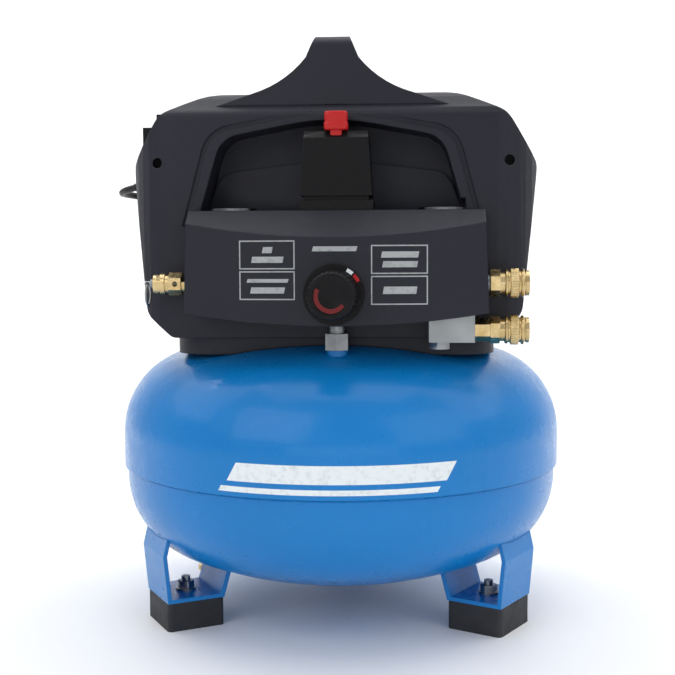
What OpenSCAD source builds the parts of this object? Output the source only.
// Pancake air compressor: a low round tank on three rubber feet carries an oil-free motor and pump
// under a moulded shroud, with a control console at the front and a carrying handle over the top.
// Millimetres. Z is up, the floor is z = 0, the tank's axis is x = y = 0 and the console faces -Y.

/* [Tank] */
// outside radius of the tank's upper half
tank_r = 203; // [198:1:212]
// sheet thickness of both tank halves
tank_wall = 3; // [2:0.5:4]
// height of the tank's lowest point above the floor
belly_z = 26; // [24:1:34]
// depth of the lower pressed half
lower_depth = 111; // [106:1:114]
// depth of the upper pressed half
upper_depth = 125; // [120:1:130]
// height of the rubber feet
foot_h = 25; // [22:1:27]

/* [Shroud] */
// half width of the shroud at its widest
shroud_half_w = 176; // [172:1:180]
// height of the shroud above the tank's crown
shroud_h = 206; // [202:1:212]
// height of the carrying handle above the tank's crown
handle_h = 254; // [250:1:262]
// moulded wall thickness of the shroud and the console
shell_wall = 3; // [2.5:0.5:3.5]

/* [Controls] */
// half width of the control console
console_half_w = 126; // [123:1:128]
// radius of the regulator knob
knob_r = 20; // [18:0.5:21]
// travel of the red switch knob
switch_travel = 6; // [4:1:8]

/* [Hidden] */

$fn = 96;
overlap = 1;          // how far a cutting shape runs past the face it cuts
running_gap = 0.05;   // radial clearance of a turning or sliding fit

// tank
seam_z = belly_z + lower_depth;
crown_z = seam_z + upper_depth;
knuckle_r = 75;
lower_skirt = 10;
upper_skirt = 30;
lap = 12;
lower_r = tank_r - tank_wall;

// legs
foot_radius = 157;
foot_length = 52;
foot_width = 58;
leg_angles = [-60, 60, 180];
strap = 3.5;
bolt_r = 4;
bolt_flats = 13;
washer_r = 9;
head_recess = 10;

// heights of the upper unit, measured from the tank's crown
plate_z = crown_z + 6;
plate_t = 4;
shroud_bottom = crown_z - 4;
shroud_top = crown_z + shroud_h;
deck_z = crown_z + 104;
handle_top = crown_z + handle_h;
manifold_z = crown_z + 43;
regulator_z = crown_z + 35;
lower_outlet_z = crown_z + 4;

// drain valve under the belly, and the check valve on the crown behind the pump
drain_x = -131;
drain_y = 0;
drain_z = belly_z + 16;
drain_stem_r = 2;
check_x = 91;
check_y = 88;
check_top = crown_z + 30;
nut_top = crown_z + 1;

// shroud, front face to rear face
shroud_front_y = -110;
shroud_rear_y = 125;
alcove_back_y = -72;
alcove_panel = 5;
plinth_half_w = 140;
plinth_front_y = -104;
plinth_rear_y = 112;
screw_x = 150;
screw_z = crown_z + 146;
screw_seat_y = -90;
screw_end_y = 16;
screw_head_r = 4.5;
screw_shank_r = 2.2;
frame_w = 5;
frame_proud = 3;
well_half_w = 48;
well_front_y = -55;
well_rear_y = 72;
well_z = crown_z + 186;

// console and the parts it covers; all of them sit a little to the right of the tank's axis
console_x = 5;
console_front_y = -158;
console_bow = 13;
chamfer_y = -134;
chamfer_slope = 0.95;
console_bottom = crown_z + 9;
manifold_y = -124;
manifold_half = 11;
manifold_end = 115;
post_r = 6;
end_pipe_r = 7;
collar_spigot_r = 21.7;
bonnet_r = 14;
arc_inner_r = 10;
arc_w = 3.4;
block_left = 77;
collar_front = console_front_y - 5;
knob_front = console_front_y - 40;
spindle_r = 3;
gauge_x = 88;
gauge_y = -114;
gauge_r = 20;
gauge_rim = 2;
gauge_depth = 26;
needle_hub_r = 1.5;
barrel_r = 9.5;
relief_stem_r = 2.5;
coupler_x = 128;
valve_x = -131;
relief_end = valve_x - 24;
relief_ring_x = relief_end - 5.5;

// pressure switch on the console's deck
switch_front = -131;
switch_back = -85;
cover_low = deck_z + 12;
cover_high = deck_z + 66;
stem_y = -122;
stem_r = 5;

// motor and pump
motor_y = 25;
shaft_z = crown_z + 78;
shaft_r = 8;
motor_r = 56;
rotor_r = 30;
isolator_h = 10;
cradle_z = plate_z + plate_t + isolator_h;
motor_left = -70;
motor_right = 45;
core_left = -54;
core_right = 24;
motor_wall = 3;
fan_left = -114;
fan_right = -88;
disc_left = 62;
disc_right = 78;
crank_throw = 12;
pin_r = 5;
cylinder_x = 91;
cylinder_r = 24;
frame_top = shaft_z + 46;
cylinder_h = 42;
cylinder_top = frame_top + cylinder_h;
valve_plate_t = 4;
head_half = 30;
head_z = cylinder_top + valve_plate_t;
tube_z = head_z + 12;

// power cord: out of the gland, down behind the tank, round a floor coil and on to the plug
cord_r = 3.3;
gland_base = [-168, 14, crown_z + 141];
gland_dir = [-0.85, 0.48, -0.2];
gland_length = 40;
gland_tip = gland_base + gland_length * gland_dir;
coil_centre = [-40, 285];
coil_mean_r = 37;
coil_half_w = 13.5;
coil_h = 13.4;
cord_route = [
    gland_tip, [-212, 39.5, 393], [-219, 49, 391.5], [-222, 61, 390.5], [-220, 74, 390], [-214, 86, 389],
    [-204, 97, 387], [-191, 108, 383], [-178, 119, 374], [-167, 131, 357], [-157, 146, 334],
    [-148, 162, 306], [-140, 178, 275], [-132, 192, 243], [-124, 203, 212],
    [-117, 211, 180], [-111, 216, 148], [-105, 219, 116], [-100, 221, 86], [-95, 224, 58],
    [-90, 227, 36], [-84, 230, 20], [-76, 234, 9], [-66, 237, 4], [-56, 238, 3.5]];
tail_route = [[-10, 246, 10], [0, 246, 9.5], [10, 245, 9], [20, 244, 9], [30, 242.5, 9.5], [40, 242, 10]];

// ---- shape functions ----

function unit(v) = v / norm(v);

// the arc that rounds corner b between a and c
function corner_arc(a, b, c, r, steps) =
    let (
        u = unit(a - b),
        v = unit(c - b),
        half = acos(u * v) / 2,
        centre = b + unit(u + v) * r / sin(half),
        first = b + u * r / tan(half) - centre,
        last = b + v * r / tan(half) - centre,
        start = atan2(first.y, first.x),
        sweep = (atan2(last.y, last.x) - start + 540) % 360 - 180)
    [for (i = [0 : steps]) centre + r * [cos(start + sweep * i / steps), sin(start + sweep * i / steps)]];

// a closed outline with each corner rounded by its own radius
function rounded(points, radii, steps = 6) =
    let (n = len(points))
    [for (i = [0 : n - 1]) each radii[i] <= 0
        ? [points[i]]
        : corner_arc(points[(i + n - 1) % n], points[i], points[(i + 1) % n], radii[i], steps)];

// an anticlockwise outline moved inwards by d
function inset(points, d) =
    let (n = len(points))
    [for (i = [0 : n - 1])
        let (
            u = unit(points[i] - points[(i + n - 1) % n]),
            v = unit(points[(i + 1) % n] - points[i]),
            nu = [-u.y, u.x],
            nv = [-v.y, v.x])
        points[i] + d * (nu + nv) / (1 + nu * nv)];

// the right half of an outline, from bottom to top, completed with its mirror image
function both_sides(right) =
    concat(right, [for (i = [len(right) - 1 : -1 : 0]) [-right[i].x, right[i].y]]);

function reversed(list) = [for (i = [len(list) - 1 : -1 : 0]) list[i]];

// ---- shape modules ----

module along_x(x0, x1) {
    translate([x0, 0, 0])
        rotate([90, 0, 90])
            linear_extrude(x1 - x0)
                children();
}

module along_y(y0, y1) {
    translate([0, y1, 0])
        rotate([90, 0, 0])
            linear_extrude(y1 - y0)
                children();
}

module box(low, high) {
    translate(low)
        cube(high - low);
}

module rod_x(x0, x1, y, z, r) {
    translate([x0, y, z])
        rotate([0, 90, 0])
            cylinder(h = x1 - x0, r = r);
}

module rod_y(x, y0, y1, z, r) {
    translate([x, y1, z])
        rotate([90, 0, 0])
            cylinder(h = y1 - y0, r = r);
}

module rod_z(x, y, z0, z1, r) {
    translate([x, y, z0])
        cylinder(h = z1 - z0, r = r);
}

// a hexagonal bar, given by its distance across flats
module hex_x(x0, x1, y, z, flats) {
    translate([x0, y, z])
        rotate([0, 90, 0])
            cylinder(h = x1 - x0, r = flats / 2 / cos(30), $fn = 6);
}

module hex_z(x, y, z0, z1, flats) {
    translate([x, y, z0])
        cylinder(h = z1 - z0, r = flats / 2 / cos(30), $fn = 6);
}

// half the section of a pressed dish: a skirt, a knuckle arc and a crown arc that meet smoothly
module dish_section(r, depth, skirt, knuckle) {
    rise = depth - skirt;
    crown = (pow(r - knuckle, 2) + pow(rise, 2) - pow(knuckle, 2)) / (2 * (rise - knuckle));
    crown_centre = depth - crown;
    knuckle_centre = [r - knuckle, skirt];
    reach = 2 * (knuckle_centre - [0, crown_centre]) + [0, crown_centre];
    intersection() {
        union() {
            intersection() {
                translate([0, crown_centre])
                    circle(crown, $fn = 360);
                polygon([[0, crown_centre], reach, [0, reach.y]]);
            }
            translate(knuckle_centre)
                circle(knuckle);
            square([r, skirt]);
        }
        square([r, depth]);
    }
}

module dish(r, depth, skirt, knuckle) {
    rotate_extrude($fn = 180)
        dish_section(r, depth, skirt, knuckle);
}

module tank_top_solid(inwards = 0) {
    translate([0, 0, seam_z])
        dish(tank_r - inwards, upper_depth - inwards, upper_skirt, knuckle_r - inwards);
}

module tank_bottom_solid(inwards = 0) {
    translate([0, 0, seam_z])
        mirror([0, 0, 1])
            dish(lower_r - inwards, lower_depth - inwards, lower_skirt, knuckle_r - inwards);
}

// ---- tank ----

module tank_lower_shell() {
    color("#2f76c2")
        difference() {
            union() {
                tank_bottom_solid();
                rod_z(0, 0, seam_z - overlap, seam_z + lap, lower_r);
            }
            tank_bottom_solid(tank_wall);
            rod_z(0, 0, seam_z - overlap, seam_z + lap + overlap, lower_r - tank_wall);
        }
}

// the upper half, with the weld bead under its lip
module tank_upper_shell() {
    bead = 2;
    color("#2f76c2") {
        difference() {
            tank_top_solid();
            tank_top_solid(tank_wall);
        }
        rotate_extrude($fn = 180)
            polygon([[lower_r, seam_z], [lower_r + bead, seam_z], [lower_r, seam_z - bead]]);
    }
}

// ---- legs ----

module at_legs() {
    for (angle = leg_angles)
        rotate([0, 0, angle])
            translate([0, -foot_radius, 0])
                children();
}

// side view of one bent strap, before the tank is cut from it: x runs towards the tank's axis.
// The inner side leans inwards; the outer side bulges outwards up to a knee and then turns inwards.
module leg_strap_section() {
    half = foot_length / 2;
    knee = 42;
    lean = 12;
    bulge = 4;
    top = 86;
    top_in = 10;
    translate([0, foot_h])
        polygon([
            [-half, 0], [half, 0], [half + lean, knee - 2], [half + lean - strap, knee],
            [half - strap, strap], [-half + strap, strap], [-half + strap - bulge, knee],
            [-half + top_in, top - 2], [-half + top_in - strap, top], [-half - bulge, knee]]);
}

module leg_brackets() {
    color("#2f76c2")
        difference() {
            at_legs()
                difference() {
                    translate([-foot_width / 2, 0, 0])
                        rotate([90, 0, 90])
                            linear_extrude(foot_width)
                                leg_strap_section();
                    rod_z(0, 0, foot_h - overlap, foot_h + strap + overlap, bolt_r + 0.2);
                }
            tank_bottom_solid();
        }
}

module rubber_feet() {
    half = foot_length / 2;
    side = foot_width / 2;
    corner_r = 4;
    color("#1d1d20")
        at_legs()
            difference() {
                linear_extrude(foot_h)
                    polygon(rounded([[-side, -half], [side, -half], [side, half], [-side, half]],
                        [corner_r, corner_r, corner_r, corner_r]));
                rod_z(0, 0, -overlap, head_recess, washer_r);
                rod_z(0, 0, -overlap, foot_h + overlap, bolt_r + 0.2);
            }
}

// a bolt up through each foot and its bracket, with a washer and nut on top
module foot_fasteners() {
    top = foot_h + strap;
    head_h = 5;
    washer_t = 1.5;
    nut_h = 6.5;
    color("#b9bcc0")
        at_legs() {
            hex_z(0, 0, head_recess - head_h, head_recess, bolt_flats);
            rod_z(0, 0, head_recess, top + washer_t + nut_h + bolt_r, bolt_r);
            rod_z(0, 0, top, top + washer_t, washer_r);
            hex_z(0, 0, top + washer_t, top + washer_t + nut_h, bolt_flats);
        }
}

// ---- drain ----

// welded bosses: the riser under the console and the drain under the belly
module tank_bungs() {
    bung_r = 9;
    color("#2f76c2")
        difference() {
            union() {
                rod_z(drain_x, drain_y, drain_z + 2, drain_z + 24, bung_r);
                rod_z(console_x, manifold_y, crown_z - 30, crown_z - 13, bung_r);
            }
            tank_bottom_solid();
            tank_top_solid();
        }
}

module drain_valve_body() {
    hex_low = drain_z - 6;
    spout = 6;
    color("#a5823f")
        difference() {
            union() {
                hex_z(drain_x, drain_y, hex_low, drain_z + 2, 15);
                rod_z(drain_x, drain_y, hex_low - spout, hex_low, 5);
            }
            rod_z(drain_x, drain_y, hex_low - spout - overlap, drain_z - 1, drain_stem_r + running_gap);
        }
}

// a grooved thumb wheel on the stem that opens the drain
module drain_valve_handle() {
    grooves = 12;
    wheel_r = 8;
    wheel_low = drain_z - 17;
    wheel_high = drain_z - 12.5;
    color("#a5823f") {
        rod_z(drain_x, drain_y, wheel_low + overlap, drain_z - 2, drain_stem_r);
        difference() {
            rod_z(drain_x, drain_y, wheel_low, wheel_high, wheel_r);
            for (i = [0 : grooves - 1])
                translate([drain_x, drain_y, 0])
                    rotate([0, 0, i * 360 / grooves])
                        rod_z(wheel_r + 0.4, 0, wheel_low - overlap, wheel_high + overlap, 1);
        }
    }
}

// ---- air path from the tank ----

module riser_nut() {
    color("#b9bcc0")
        translate([console_x, manifold_y, 0])
            rotate([0, 0, 30])
                hex_z(0, 0, crown_z - 13, nut_top, 19);
}

// a threaded pipe: the threads are rings round the part just above the nut
module riser_nipple() {
    thread_r = 7;
    pitch = 2;
    color("#b9bcc0") {
        rod_z(console_x, manifold_y, nut_top, manifold_z - manifold_half, thread_r - 0.6);
        for (z = [nut_top + 1 : pitch : nut_top + 11])
            rod_z(console_x, manifold_y, z, z + pitch / 2, thread_r);
    }
}

module check_valve() {
    hex_low = crown_z + 2;
    color("#b8944a")
        difference() {
            union() {
                rod_z(check_x, check_y, crown_z - 40, hex_low, 8);
                hex_z(check_x, check_y, hex_low, hex_low + 20, 19);
                rod_z(check_x, check_y, hex_low + 20, check_top, 7);
            }
            tank_top_solid();
        }
}

// delivery tube: back out of the cylinder head, round a bend and down to the check valve
module transfer_tube() {
    tube_r = 4;
    bend_r = 14;
    start_y = motor_y + head_half;
    color("#b9783f") {
        rod_y(check_x, start_y, check_y - bend_r, tube_z, tube_r);
        translate([check_x, check_y - bend_r, tube_z - bend_r])
            rotate([90, 0, 90])
                rotate_extrude(angle = 90)
                    translate([bend_r, 0])
                        circle(tube_r);
        rod_z(check_x, check_y, check_top, tube_z - bend_r, tube_r);
    }
}

// ---- motor and pump ----

// a flat plate on four posts that are welded to the tank's crown
module pump_mounting_plate() {
    post_r = 9;
    color("#2a6ab0") {
        box([-75, -45, plate_z], [62, 95, plate_z + plate_t]);
        difference() {
            for (x = [-60, 46], y = [-30, 80])
                rod_z(x, y, crown_z - 40, plate_z, post_r);
            tank_top_solid();
        }
    }
}

module rubber_isolators() {
    isolator_r = 9;
    color("#1d1d20")
        for (x = [-56, 32], y = [-15, 65])
            rod_z(x, y, plate_z + plate_t, cradle_z, isolator_r);
}

// a channel whose sides are hollowed to the motor's outline
module motor_cradle() {
    left = -66;
    right = 42;
    half = 52;
    side_t = 10;
    floor_t = 4;
    height = 22;
    color("#8d9094")
        difference() {
            box([left, motor_y - half, cradle_z], [right, motor_y + half, cradle_z + height]);
            box([left + side_t, motor_y - half - overlap, cradle_z + floor_t],
                [right - side_t, motor_y + half + overlap, cradle_z + height + overlap]);
            rod_x(left - overlap, right + overlap, motor_y, shaft_z, motor_r);
        }
}

module motor_housing() {
    boss_left = motor_left - 8;
    end_wall = 4;
    color("#9a9da1")
        difference() {
            union() {
                rod_x(motor_left, motor_right, motor_y, shaft_z, motor_r);
                rod_x(boss_left, motor_left, motor_y, shaft_z, shaft_r + 10);
            }
            rod_x(motor_left + end_wall, motor_right - end_wall, motor_y, shaft_z, motor_r - motor_wall);
            rod_x(boss_left - overlap, motor_right + overlap, motor_y, shaft_z, shaft_r + running_gap);
        }
}

// laminated core with the ends of its windings
module motor_stator() {
    air_gap = 0.5;
    winding = 8;
    winding_r = 50;
    color("#6c6f73")
        difference() {
            rod_x(core_left, core_right, motor_y, shaft_z, motor_r - motor_wall);
            rod_x(core_left - overlap, core_right + overlap, motor_y, shaft_z, rotor_r + air_gap);
        }
    color("#b4622d")
        for (x = [core_left - winding, core_right])
            difference() {
                rod_x(x, x + winding, motor_y, shaft_z, winding_r);
                rod_x(x - overlap, x + winding + overlap, motor_y, shaft_z, rotor_r + 4);
            }
}

// rotor core pressed on its shaft, which runs from the fan to the crank disc
module motor_rotor() {
    color("#85888c") {
        rod_x(core_left, core_right, motor_y, shaft_z, rotor_r);
        rod_x(fan_left - 2, disc_right, motor_y, shaft_z, shaft_r);
    }
}

module cooling_fan() {
    blades = 7;
    blade = [44, 28, 2.5];
    blade_pitch = 38;
    fan_r = 54;
    hub_r = 16;
    width = fan_right - fan_left;
    color("#26262a")
        difference() {
            intersection() {
                rod_x(fan_left, fan_right, motor_y, shaft_z, fan_r);
                translate([fan_left + width / 2, motor_y, shaft_z])
                    rotate([0, 90, 0]) {
                        cylinder(h = width, r = hub_r, center = true);
                        for (i = [0 : blades - 1])
                            rotate([0, 0, i * 360 / blades])
                                translate([35, 0, 0])
                                    rotate([blade_pitch, 0, 0])
                                        cube(blade, center = true);
                    }
            }
            rod_x(fan_left - overlap, fan_right + overlap, motor_y, shaft_z, shaft_r);
        }
}

// the disc, its counterweight opposite the pin, and the crank pin
module crank_disc() {
    disc_r = 20;
    weight_r = 34;
    weight_half = 24;
    weight_right = disc_right - 6;
    color("#85888c") {
        difference() {
            union() {
                rod_x(disc_left, disc_right, motor_y, shaft_z, disc_r);
                intersection() {
                    rod_x(disc_left, weight_right, motor_y, shaft_z, weight_r);
                    box([disc_left - overlap, motor_y - weight_half, shaft_z],
                        [weight_right + overlap, motor_y + weight_half, shaft_z + 40]);
                }
            }
            rod_x(disc_left - overlap, disc_right + overlap, motor_y, shaft_z, shaft_r);
        }
        rod_x(disc_right, disc_right + 7, motor_y, shaft_z - crank_throw, pin_r);
    }
}

// a ring and web on the motor's end that carry the shelf under the cylinder
module pump_frame() {
    web = 7;
    shelf = 6;
    half = 36;
    ring_r = 40;
    opening_r = 26;
    color("#9a9da1")
        difference() {
            union() {
                rod_x(motor_right, motor_right + web, motor_y, shaft_z, ring_r);
                box([motor_right, motor_y - half, shaft_z], [motor_right + web, motor_y + half, frame_top]);
                box([motor_right, motor_y - half, frame_top - shelf],
                    [cylinder_x + 34, motor_y + half, frame_top]);
            }
            rod_x(motor_right - overlap, motor_right + web + overlap, motor_y, shaft_z, opening_r);
            rod_z(cylinder_x, motor_y, frame_top - shelf - overlap, frame_top + overlap, cylinder_r);
        }
}

module pump_cylinder() {
    fins = 5;
    fin_t = 3;
    fin_pitch = 8;
    wall = 3;
    piston_gap = 0.08;
    color("#b5b8bc")
        difference() {
            union() {
                rod_z(cylinder_x, motor_y, frame_top, cylinder_top, cylinder_r + wall);
                for (i = [0 : fins - 1]) {
                    z = frame_top + 2 + fin_pitch * i;
                    rod_z(cylinder_x, motor_y, z, z + fin_t, cylinder_r + 9);
                }
            }
            rod_z(cylinder_x, motor_y, frame_top - overlap, cylinder_top + overlap, cylinder_r + piston_gap);
        }
}

// one-piece rocking piston: the disc fixed to its own rod, with a plain big end round the crank pin
module piston_rod() {
    big_end_z = shaft_z - crank_throw;
    big_end_r = 12;
    pin_gap = 0.2;
    rod_left = disc_right + 7.5;
    rod_right = rod_left + 11;
    piston_z = frame_top + 4;
    piston_h = 9;
    color("#c0c3c7") {
        difference() {
            union() {
                rod_x(rod_left, rod_right, motor_y, big_end_z, big_end_r);
                box([rod_left + 0.5, motor_y - 6, big_end_z], [rod_right - 0.5, motor_y + 6, piston_z]);
            }
            rod_x(rod_left - overlap, rod_right + overlap, motor_y, big_end_z, pin_r + pin_gap);
        }
        rod_z(cylinder_x, motor_y, piston_z, piston_z + piston_h, cylinder_r);
    }
}

// the plate between the cylinder and its head, with an inlet and an outlet port
module valve_plate() {
    half = 33;
    port_y = 12;
    port_r = 4;
    color("#8d9094")
        difference() {
            box([cylinder_x - half, motor_y - half, cylinder_top],
                [cylinder_x + half, motor_y + half, head_z]);
            for (side = [-1, 1])
                rod_z(cylinder_x, motor_y + side * port_y, cylinder_top - overlap, head_z + overlap, port_r);
        }
}

// a finned head with one chamber over each port
module cylinder_head() {
    fins = 7;
    fin_t = 2.5;
    fin_pitch = 9;
    fin_z = head_z + 16;
    chamber_y = 14;
    chamber_half = [22, 10];
    color("#b5b8bc")
        difference() {
            union() {
                box([cylinder_x - head_half, motor_y - head_half, head_z],
                    [cylinder_x + head_half, motor_y + head_half, fin_z]);
                for (i = [0 : fins - 1]) {
                    x = cylinder_x - head_half + fin_pitch * i;
                    box([x, motor_y - head_half, fin_z], [x + fin_t, motor_y + head_half, fin_z + 6]);
                }
            }
            for (side = [-1, 1])
                translate([cylinder_x, motor_y + side * chamber_y, head_z])
                    box([-chamber_half.x, -chamber_half.y, -overlap], [chamber_half.x, chamber_half.y, 12]);
        }
}

module intake_filter() {
    neck = 6;
    neck_r = 5;
    can = 22;
    can_r = 12;
    front = motor_y - head_half;
    z = head_z + 8;
    color("#26262a") {
        rod_y(cylinder_x, front - neck, front, z, neck_r);
        rod_y(cylinder_x, front - neck - can, front - neck, z, can_r);
    }
}

// ---- shroud ----

shroud_right = [
    [138, shroud_bottom], [162, shroud_bottom + 20], [shroud_half_w, crown_z + 144],
    [148, shroud_top - 19], [104, shroud_top]];
shroud_right_radii = [10, 16, 14, 30, 60];

function shroud_face(d) =
    rounded(
        inset(both_sides(shroud_right), d),
        [for (r = concat(shroud_right_radii, reversed(shroud_right_radii))) r - d]);

function shroud_plan(d) =
    let (w = shroud_half_w + 2)
    rounded(
        inset([[-w, shroud_front_y], [w, shroud_front_y], [w, shroud_rear_y], [-w, shroud_rear_y]], d),
        [46 - d, 46 - d, 60 - d, 60 - d], 8);

function shroud_side(d) =
    let (low = shroud_bottom - 20, high = shroud_top + 0.5)
    rounded(
        inset([[shroud_front_y - 1, low], [shroud_rear_y + 1, low],
            [shroud_rear_y + 1, high], [shroud_front_y - 1, high]], d),
        [0, 0, 60 - d, 34 - d], 8);

module shroud_solid(d = 0) {
    intersection() {
        along_y(shroud_front_y - 5, shroud_rear_y + 5)
            polygon(shroud_face(d));
        linear_extrude(shroud_top + 50)
            polygon(shroud_plan(d));
        along_x(-shroud_half_w - 5, shroud_half_w + 5)
            polygon(shroud_side(d));
    }
}

module plinth_plan(d = 0) {
    w = plinth_half_w;
    polygon(rounded(
        inset([[-w, plinth_front_y], [w, plinth_front_y], [w, plinth_rear_y], [-w, plinth_rear_y]], d),
        [36 - d, 36 - d, 46 - d, 46 - d]));
}

module shroud_plinth() {
    low = crown_z - 19;
    height = 25;
    color("#2b2d34")
        difference() {
            translate([0, 0, low])
                linear_extrude(height)
                    plinth_plan();
            translate([0, 0, low - overlap])
                linear_extrude(height + 2 * overlap)
                    plinth_plan(shell_wall);
            tank_top_solid();
        }
}

// arch-shaped outline: sloping sides, rounded shoulders and a flat-curved top
function arch(bottom_half_w, top_half_w, low, shoulder, high, shoulder_r) =
    rounded(
        [[-bottom_half_w, low], [bottom_half_w, low],
            [top_half_w, shoulder], [0, high], [-top_half_w, shoulder]],
        [0, 0, shoulder_r, 200, shoulder_r]);

module alcove_outline(d = 0) {
    polygon(inset(arch(112, 94, deck_z, deck_z + 62, deck_z + 80, 24), -d));
}

// the raised lower panel of the alcove's back wall
module alcove_panel_outline() {
    polygon(arch(112, 100, deck_z - overlap, deck_z + 34, deck_z + 46, 20));
}

module arch_frame_outline(d = 0) {
    polygon(inset(arch(128, 106, deck_z - 12, deck_z + 70, deck_z + 89, 30), -d));
}

module hand_well(d = 0) {
    box([-well_half_w - d, well_front_y - d, well_z - d],
        [well_half_w + d, well_rear_y + d, shroud_top + 20]);
}

module gauge_holes() {
    on_console()
        at_gauges()
            rod_z(0, 0, deck_z - 30, deck_z + 10, gauge_r);
}

module screw_bores() {
    for (x = [-screw_x, screw_x]) {
        rod_y(x, shroud_front_y - 5, screw_seat_y, screw_z, screw_head_r);
        rod_y(x, screw_seat_y - overlap, screw_end_y, screw_z, screw_shank_r);
    }
}

// the outer skin of both halves, the hand well and the bosses, before the openings are cut
module shroud_body() {
    boss_r = 7.5;
    boss_end_y = screw_end_y + 4;
    rib = 2;
    difference() {
        shroud_solid();
        shroud_solid(shell_wall);
    }
    intersection() {
        shroud_solid();
        hand_well(shell_wall);
    }
    intersection() {
        shroud_solid();
        for (side = [0, 1])
            mirror([side, 0, 0]) {
                rod_y(screw_x, shroud_front_y - 5, boss_end_y, screw_z, boss_r);
                box([screw_x, shroud_front_y, screw_z - rib], [shroud_half_w, boss_end_y, screw_z + rib]);
            }
    }
}

module shroud_cuts() {
    hand_well();
    gauge_holes();
    screw_bores();
    translate([0, 0, shroud_bottom - overlap])
        linear_extrude(10)
            plinth_plan();
}

module shroud_front() {
    color("#2f3138")
        difference() {
            union() {
                intersection() {
                    shroud_body();
                    box([-250, shroud_front_y - 5, 0], [250, 0, shroud_top + 50]);
                }
                intersection() {
                    shroud_solid();
                    along_y(shroud_front_y, alcove_back_y + shell_wall)
                        alcove_outline(shell_wall);
                }
                along_y(shroud_front_y - frame_proud, shroud_front_y + shell_wall)
                    arch_frame_outline(-frame_w);
            }
            along_y(shroud_front_y - 5, alcove_back_y)
                difference() {
                    alcove_outline();
                    alcove_panel_outline();
                }
            along_y(shroud_front_y - 5, alcove_back_y - alcove_panel)
                alcove_outline();
            along_y(shroud_front_y - 1, shroud_front_y + 1.5)
                difference() {
                    arch_frame_outline();
                    arch_frame_outline(-frame_w);
                }
            on_console()
                box([-console_half_w - 7, shroud_front_y - 5, deck_z - 20],
                    [console_half_w + 7, shroud_front_y, deck_z]);
            shroud_cuts();
        }
}

// the rear half with cooling slots in its back and low in its sides
module shroud_rear() {
    back_slots = 9;
    side_slots = 8;
    slot_h = 5;
    slot_half = 40;
    color("#2f3138")
        difference() {
            intersection() {
                shroud_body();
                box([-250, 0, 0], [250, shroud_rear_y + 5, shroud_top + 50]);
            }
            shroud_cuts();
            for (i = [0 : back_slots - 1], side = [-1, 1])
                translate([side * 52, shroud_rear_y, crown_z + 40 + 13 * i])
                    box([-slot_half, -10, 0], [slot_half, 10, slot_h]);
            for (i = [0 : side_slots - 1], side = [-1, 1])
                translate([side * shroud_half_w, 48, crown_z + 22 + 12 * i])
                    box([-20, -slot_half / 2, 0], [20, slot_half / 2, slot_h]);
            gland_cone();
        }
}

// long screws with a cross recess; their heads lie deep in the front half's bores
module shroud_screws() {
    head_h = 4;
    recess = 3;
    slit = 0.6;
    color("#26262a")
        for (x = [-screw_x, screw_x])
            translate([x, screw_seat_y - head_h, screw_z])
                difference() {
                    union() {
                        rod_y(0, 0, head_h, 0, screw_head_r);
                        rod_y(0, head_h, screw_end_y - screw_seat_y + head_h, 0, screw_shank_r);
                    }
                    box([-recess, -overlap, -slit], [recess, 1.5, slit]);
                    box([-slit, -overlap, -recess], [slit, 1.5, recess]);
                }
}

// front view of the handle: a narrow grip that flares out over the shoulders of the shroud
function handle_face() =
    let (
        flare_r = 88,
        flare_centre = [92, handle_top + 35],
        first = 249,
        last = 218,
        steps = 6,
        flare = [for (i = [0 : steps])
            let (a = first + (last - first) * i / steps)
            flare_centre + flare_r * [cos(a), sin(a)]])
    both_sides(concat([[112, shroud_top - 26], [112, shroud_top - 17]], flare, [[14.5, handle_top]]));

// side view of the handle: a low bow with one long opening for the hand
module handle_side() {
    difference() {
        polygon(rounded(
            [[shroud_front_y + 2, shroud_top - 40], [shroud_rear_y - 8, shroud_top - 40],
                [shroud_rear_y - 24, handle_top], [shroud_front_y + 16, handle_top]],
            [0, 0, 18, 12]));
        polygon(rounded(
            [[well_front_y, shroud_top - 60], [well_rear_y, shroud_top - 60],
                [well_rear_y - 4, handle_top - 24], [well_front_y + 2, handle_top - 24]],
            [0, 0, 14, 14]));
    }
}

module carry_handle() {
    color("#2f3138")
        difference() {
            intersection() {
                along_y(shroud_front_y - 5, shroud_rear_y + 5)
                    polygon(handle_face());
                along_x(-120, 120)
                    handle_side();
            }
            shroud_solid();
        }
}

// ---- electrical parts ----

module terminal_box() {
    box_left = -188;
    box_right = -150;
    box_front = 6;
    box_rear = 62;
    low = crown_z + 148;
    color("#202126")
        difference() {
            union() {
                box([box_left, box_front, low], [box_right, box_rear, low + 40]);
                box([box_left + 12, box_front + 6, low + 40], [box_right + 10, box_rear - 6, low + 53]);
            }
            box([box_left + 3, box_front + 3, low + 3], [box_right, box_rear - 3, low + 37]);
            shroud_solid();
        }
}

module start_capacitor() {
    color("#55585d")
        rod_y(-136, 26, 90, crown_z + 156, 16);
}

// turns the z axis to point along d
module aim(origin, d) {
    translate(origin)
        rotate([0, acos(d.z / norm(d)), atan2(d.y, d.x)])
            children();
}

module gland_cone() {
    aim(gland_base, gland_dir)
        cylinder(h = gland_length, r1 = 5.5, r2 = cord_r + 0.6);
}

// ---- console ----

module on_console() {
    translate([console_x, 0, 0])
        children();
}

module at_gauges() {
    for (x = [-gauge_x, gauge_x])
        translate([x, gauge_y, 0])
            children();
}

module console_plan(d = 0) {
    w = console_half_w;
    polygon(inset(concat(
        [for (i = [0 : 12]) let (s = i / 6 - 1) [s * w, console_front_y + console_bow * s * s]],
        [[w, shroud_front_y + d], [-w, shroud_front_y + d]]), d));
}

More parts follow.
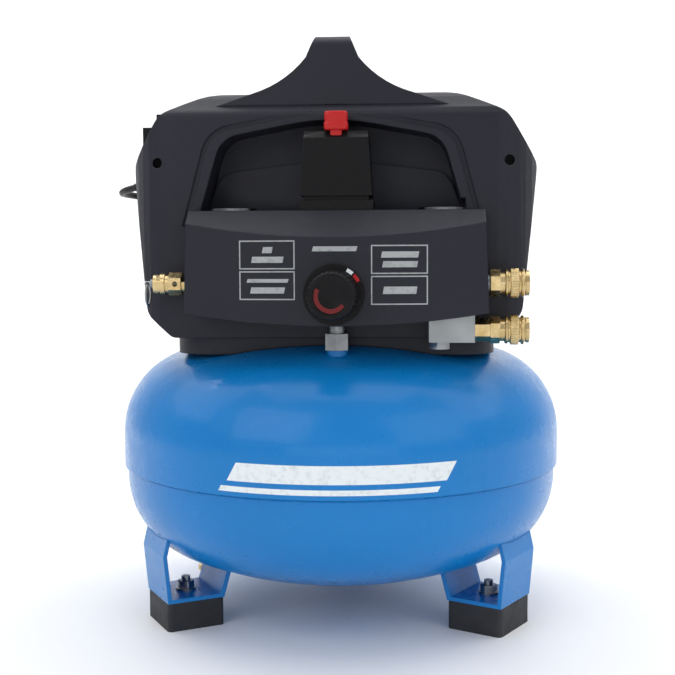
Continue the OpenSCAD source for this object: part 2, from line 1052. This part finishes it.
// front view: a lower edge that rises a little towards both ends; the hollow has no floor
module console_face(d = 0) {
    w = console_half_w;
    open_floor = 60 * sign(d);
    polygon(concat(
        [for (i = [0 : 12]) let (s = i / 6 - 1) [s * w, console_bottom + 10 * s * s - open_floor]],
        [[w - 3 - d, deck_z - d], [-w + 3 + d, deck_z - d]]));
}

// side view: a flat deck, then a chamfer that meets the bowed front
module console_side(d = 0) {
    beyond = 20;
    polygon(inset([
        [console_front_y - beyond, console_bottom - 120], [shroud_front_y + 10, console_bottom - 120],
        [shroud_front_y + 10, deck_z], [chamfer_y, deck_z],
        [console_front_y - beyond, deck_z - chamfer_slope * (chamfer_y - console_front_y + beyond)]], d));
}

module console_solid(d = 0) {
    intersection() {
        along_y(console_front_y - 5, shroud_front_y)
            console_face(d);
        linear_extrude(deck_z + 20)
            console_plan(d);
        along_x(-console_half_w - 5, console_half_w + 5)
            console_side(d);
    }
}

module control_console() {
    color("#2f3138")
        on_console()
            difference() {
                console_solid();
                console_solid(shell_wall);
                rod_y(0, console_front_y - 5, console_front_y + 18, regulator_z, collar_spigot_r + 0.3);
                for (side = [-1, 1])
                    rod_x(side * console_half_w - 15, side * console_half_w + 15, manifold_y, manifold_z,
                        end_pipe_r + 1);
                rod_z(0, manifold_y, deck_z - 10, deck_z + 5, post_r);
                box([block_left - 2, manifold_y - 13, console_bottom - 60],
                    [manifold_end + 2, manifold_y + 13, console_bottom + 12]);
                at_gauges()
                    rod_z(0, 0, deck_z - 30, deck_z + 10, gauge_r);
            }
}

module air_manifold() {
    top = manifold_z + manifold_half;
    color("#a9acb0")
        on_console() {
            box([-manifold_end, manifold_y - manifold_half, manifold_z - manifold_half],
                [manifold_end, manifold_y + manifold_half, top]);
            for (x = [-gauge_x, gauge_x])
                rod_z(x, gauge_y - 4, top, deck_z - gauge_depth, 5);
            rod_z(0, manifold_y, top, deck_z, post_r);
            rod_x(manifold_end, coupler_x, manifold_y, manifold_z, end_pipe_r);
        }
}

// the block under the manifold's right end, with a short elbow towards the tank
module outlet_block() {
    low = crown_z - 6;
    color("#c9cacb")
        on_console() {
            box([block_left, manifold_y - 12, low],
                [manifold_end, manifold_y + 12, manifold_z - manifold_half]);
            rod_z(block_left + 9, manifold_y, low - 6, low, 8.5);
        }
}

// ---- regulator ----

// the bonnet in front of the manifold: a wide base and a neck that the collar fits round
module regulator_body() {
    back = manifold_y - manifold_half;
    base_front = back - 13;
    color("#a9acb0")
        on_console()
            difference() {
                union() {
                    rod_y(0, base_front, back, regulator_z, 20);
                    rod_y(0, collar_front + 1, base_front, regulator_z, bonnet_r);
                }
                rod_y(0, collar_front, back - 4, regulator_z, spindle_r + running_gap);
            }
}

module regulator_collar() {
    color("#202126")
        on_console()
            difference() {
                union() {
                    rod_y(0, collar_front, console_front_y, regulator_z, 25);
                    rod_y(0, console_front_y, console_front_y + 10, regulator_z, collar_spigot_r);
                }
                rod_y(0, collar_front - overlap, console_front_y + 11, regulator_z, bonnet_r + 0.1);
            }
}

module regulator_spindle() {
    color("#c9ccd0")
        on_console()
            rod_y(0, knob_front + 8, manifold_y - manifold_half - 5, regulator_z, spindle_r);
}

module regulator_knob() {
    flutes = 12;
    flute_r = 2.6;
    color("#202126")
        on_console()
            difference() {
                rod_y(0, knob_front, collar_front - 2, regulator_z, knob_r);
                for (i = [0 : flutes - 1])
                    translate([0, 0, regulator_z])
                        rotate([0, i * 360 / flutes, 0])
                            rod_y(knob_r + 1, knob_front - 1, collar_front - 8, 0, flute_r);
                rod_y(0, knob_front + 7, collar_front - 1, regulator_z, spindle_r);
                arc_ring();
            }
}

// an arc set into the knob's face, from its upper left round the bottom to its lower right
module arc_ring() {
    start = 152;
    sweep = 172;
    translate([0, knob_front + 1, regulator_z])
        rotate([90, -start, 0])
            rotate_extrude(angle = sweep)
                translate([arc_inner_r, 0])
                    square([arc_w, 1]);
}

module knob_red_arc() {
    color("#d8232a")
        on_console()
            arc_ring();
}

// ---- gauges ----

module gauge_bodies() {
    color("#c9ccd0")
        on_console()
            at_gauges()
                difference() {
                    rod_z(0, 0, deck_z - gauge_depth, deck_z + 2, gauge_r);
                    rod_z(0, 0, deck_z - 5, deck_z + 3, gauge_r - gauge_rim);
                    rod_z(0, 0, deck_z - 12, deck_z, needle_hub_r + running_gap);
                }
}

module gauge_glasses() {
    color([0.8, 0.9, 1, 0.35])
        on_console()
            at_gauges()
                rod_z(0, 0, deck_z - 1, deck_z + 0.5, gauge_r - gauge_rim);
}

// pointer and its spindle, standing at the dial's zero
module gauge_needle(x) {
    zero_angle = 225;
    half_w = 0.6;
    color("#d8232a")
        on_console()
            translate([x, gauge_y, 0]) {
                rod_z(0, 0, deck_z - 11, deck_z - 2, needle_hub_r);
                rotate([0, 0, zero_angle])
                    box([-4, -half_w, deck_z - 3.6], [14, half_w, deck_z - 2.8]);
            }
}

module tank_gauge_needle() {
    gauge_needle(-gauge_x);
}

module outlet_gauge_needle() {
    gauge_needle(gauge_x);
}

// ---- pressure switch ----

module switch_base() {
    foot = 8;
    color("#202126")
        on_console()
            difference() {
                union() {
                    box([-31, switch_front, deck_z], [31, switch_back, deck_z + foot]);
                    box([-27, switch_front + 3, deck_z + foot], [27, switch_back - 3, cover_low]);
                    box([-18, stem_y - 1, cover_low], [18, switch_back - 9, cover_low + 30]);
                }
                rod_z(0, stem_y, deck_z + 4, cover_low + 40, stem_r + 0.5);
            }
}

// the cover tapers upwards and has a bevel along its upper front edge
module cover_block(d) {
    intersection() {
        along_y(switch_front - 20, switch_back + 20)
            polygon([[-30 + d, cover_low - 1], [30 - d, cover_low - 1], [26.5 - d, cover_high - d],
                [-26.5 + d, cover_high - d]]);
        along_x(-40, 40)
            polygon([[switch_front + d, cover_low - 1], [switch_back - d, cover_low - 1],
                [switch_back - 3 - d, cover_high - d], [switch_front + 8, cover_high - d],
                [switch_front + 2 + d, cover_high - 6 - d]]);
        box([-50, switch_front - 20, d > 0 ? cover_low - 2 : cover_low],
            [50, switch_back + 20, cover_high + 5]);
    }
}

module switch_cover() {
    color("#17181b")
        on_console()
            difference() {
                cover_block(0);
                cover_block(2);
                rod_z(0, stem_y, cover_high - 12, cover_high + 5, stem_r + running_gap);
            }
}

module switch_red_knob() {
    knob_low = cover_high + 0.5;
    knob_h = 15.5;
    half = [10, 7.75];
    color("#d8232a")
        on_console() {
            rod_z(0, stem_y, cover_low + 26 - switch_travel, knob_low, stem_r);
            translate([0, stem_y - 0.25, knob_low])
                linear_extrude(knob_h)
                    polygon(rounded([-half, [half.x, -half.y], half, [-half.x, half.y]], [2, 2, 2, 2], 3));
        }
}

// ---- safety relief valve ----

// hexagonal body with a guide for the stem; a cross hole lets the air out
module safety_valve_body() {
    hex_left = valve_x - 11;
    color("#c9a24e")
        on_console()
            difference() {
                union() {
                    rod_x(valve_x, -manifold_end, manifold_y, manifold_z, end_pipe_r);
                    hex_x(hex_left, valve_x, manifold_y, manifold_z, 17);
                    rod_x(relief_end, hex_left, manifold_y, manifold_z, 8);
                    rod_x(relief_end + 6, relief_end + 10, manifold_y, manifold_z, 9.2);
                }
                rod_x(relief_end - overlap, valve_x + 4, manifold_y, manifold_z,
                    relief_stem_r + running_gap);
                rod_y(valve_x - 5, manifold_y - 12, manifold_y + 12, manifold_z, 2.2);
            }
}

module safety_valve_stem() {
    tip = relief_ring_x - 2.5;
    color("#b9bcc0")
        on_console()
            difference() {
                union() {
                    rod_x(tip, valve_x + 2, manifold_y, manifold_z, relief_stem_r);
                    rod_x(relief_end - 3, relief_end - 1, manifold_y, manifold_z, 4);
                }
                rod_y(relief_ring_x, manifold_y - 5, manifold_y + 5, manifold_z, 1.6);
            }
}

// pull ring through the hole at the stem's tip
module safety_valve_ring() {
    ring_r = 9;
    wire_r = 1;
    color("#b9bcc0")
        on_console()
            translate([relief_ring_x, manifold_y, manifold_z - ring_r])
                rotate([0, 90, 0])
                    rotate_extrude()
                        translate([ring_r, 0])
                            circle(wire_r, $fn = 24);
}

// ---- quick couplers ----

module coupler_body(z) {
    barrel_x = coupler_x + 8;
    rim_x = coupler_x + 29;
    mouth_r = 6;
    color("#c9a24e")
        on_console()
            difference() {
                union() {
                    hex_x(coupler_x, barrel_x, manifold_y, z, 20);
                    rod_x(barrel_x, rim_x, manifold_y, z, barrel_r);
                    rod_x(rim_x, rim_x + 3, manifold_y, z, barrel_r + 1.1);
                }
                rod_x(barrel_x + 4, rim_x + 4, manifold_y, z, mouth_r);
            }
}

// the sliding sleeve, grooved for a grip
module coupler_sleeve(z) {
    left = coupler_x + 12;
    right = coupler_x + 28;
    grooves = 16;
    sleeve_r = 12.4;
    color("#c9a24e")
        on_console()
            difference() {
                rod_x(left, right, manifold_y, z, sleeve_r);
                rod_x(left - overlap, right + overlap, manifold_y, z, barrel_r + running_gap);
                for (i = [0 : grooves - 1])
                    translate([0, manifold_y, z])
                        rotate([i * 360 / grooves, 0, 0])
                            rod_x(left + 2, left + 10, sleeve_r + 0.5, 0, 0.9);
            }
}

module upper_coupler_body() {
    coupler_body(manifold_z);
}

module upper_coupler_sleeve() {
    coupler_sleeve(manifold_z);
}

module lower_coupler_body() {
    coupler_body(lower_outlet_z);
    color("#c9a24e")
        on_console()
            hex_x(manifold_end, coupler_x, manifold_y, lower_outlet_z, 17);
}

module lower_coupler_sleeve() {
    coupler_sleeve(lower_outlet_z);
}

// ---- power cord ----

// a point on the smooth curve through the route, t running from 0 to the number of spans
function on_route(route, t) =
    let (
        n = len(route) - 1,
        i = min(floor(t), n - 1),
        s = t - i,
        a = route[max(i - 1, 0)],
        b = route[i],
        c = route[i + 1],
        d = route[min(i + 2, n)])
    0.5 * (2 * b + (c - a) * s + (2 * a - 5 * b + 4 * c - d) * s * s + (3 * b - a - 3 * c + d) * s * s * s);

// a ring of points round the curve at t; side is a direction the curve never runs along
function cord_ring(route, t, sides, side) =
    let (
        step = 0.01,
        n = len(route) - 1,
        ahead = unit(on_route(route, min(t + step, n)) - on_route(route, max(t - step, 0))),
        u = unit(cross(ahead, side)),
        v = cross(ahead, u))
    [for (k = [0 : sides - 1])
        on_route(route, t) + cord_r * (cos(360 * k / sides) * u + sin(360 * k / sides) * v)];

module cord_tube(route, side) {
    sides = 10;
    per_span = 2;
    rings = (len(route) - 1) * per_span;
    points = [for (i = [0 : rings]) each cord_ring(route, i / per_span, sides, side)];
    walls = [for (i = [0 : rings - 1], k = [0 : sides - 1])
        let (a = i * sides + k, b = i * sides + (k + 1) % sides)
        each [[a, a + sides, b], [b, a + sides, b + sides]]];
    ends = [[for (k = [0 : sides - 1]) k], [for (k = [sides - 1 : -1 : 0]) rings * sides + k]];
    polyhedron(points, concat(walls, ends));
}

module cord_gland() {
    color("#17181b")
        gland_cone();
}

module power_cord() {
    color("#17181b") {
        cord_tube(cord_route, [1, 0.3, 0]);
        cord_tube(tail_route, [0, 0, 1]);
    }
}

// outline round the stacked turns of the coil, the floor at y = 0
function coil_section() =
    let (w = coil_half_w)
    [[-w, 0], [w, 0], [w, coil_h / 2], [w - 5, coil_h], [-w, coil_h]];

module cord_coil() {
    color("#17181b")
        translate([coil_centre.x, coil_centre.y, 0])
            rotate_extrude()
                translate([coil_mean_r, 0])
                    polygon(coil_section());
}

// a strap over the coil, open where it would pass under it
module cord_tie() {
    color("#2d2f33")
        translate([coil_centre.x - coil_mean_r, 0, 0])
            mirror([1, 0, 0])
                intersection() {
                    along_y(coil_centre.y - 4, coil_centre.y + 4)
                        difference() {
                            polygon(inset(coil_section(), -1.6));
                            polygon(inset(coil_section(), -0.4));
                        }
                    box([-30, 250, 0.2], [30, 320, 30]);
                }
}

// three-pin plug lying on the floor with its blades pointing away from the cord
module plug() {
    low = [46, 229, 0];
    blade_z = 15;
    color("#17181b")
        along_x(low.x, low.x + 24)
            polygon(rounded([[229, 0], [255, 0], [255, 21], [229, 21]], [6, 6, 6, 6]));
    color("#17181b")
        rod_x(40, low.x, 242, 10, 6);
    color("#c9a24e") {
        for (y = [-6.4, 6.4])
            box([low.x + 24, 241.2 + y, blade_z - 3.2], [low.x + 41, 242.8 + y, blade_z + 3.2]);
        rod_x(low.x + 24, low.x + 43, 242, blade_z - 11.5, 2.4);
    }
}

tank_lower_shell();
tank_upper_shell();
tank_bungs();
leg_brackets();
rubber_feet();
foot_fasteners();
drain_valve_body();
drain_valve_handle();
riser_nut();
riser_nipple();
check_valve();
transfer_tube();
pump_mounting_plate();
rubber_isolators();
motor_cradle();
motor_housing();
motor_stator();
motor_rotor();
cooling_fan();
crank_disc();
pump_frame();
pump_cylinder();
piston_rod();
valve_plate();
cylinder_head();
intake_filter();
shroud_plinth();
shroud_front();
shroud_rear();
shroud_screws();
carry_handle();
terminal_box();
start_capacitor();
control_console();
air_manifold();
outlet_block();
regulator_body();
regulator_collar();
regulator_spindle();
regulator_knob();
knob_red_arc();
gauge_bodies();
gauge_glasses();
tank_gauge_needle();
outlet_gauge_needle();
switch_base();
switch_cover();
switch_red_knob();
safety_valve_body();
safety_valve_stem();
safety_valve_ring();
upper_coupler_body();
upper_coupler_sleeve();
lower_coupler_body();
lower_coupler_sleeve();
cord_gland();
power_cord();
cord_coil();
cord_tie();
plug();
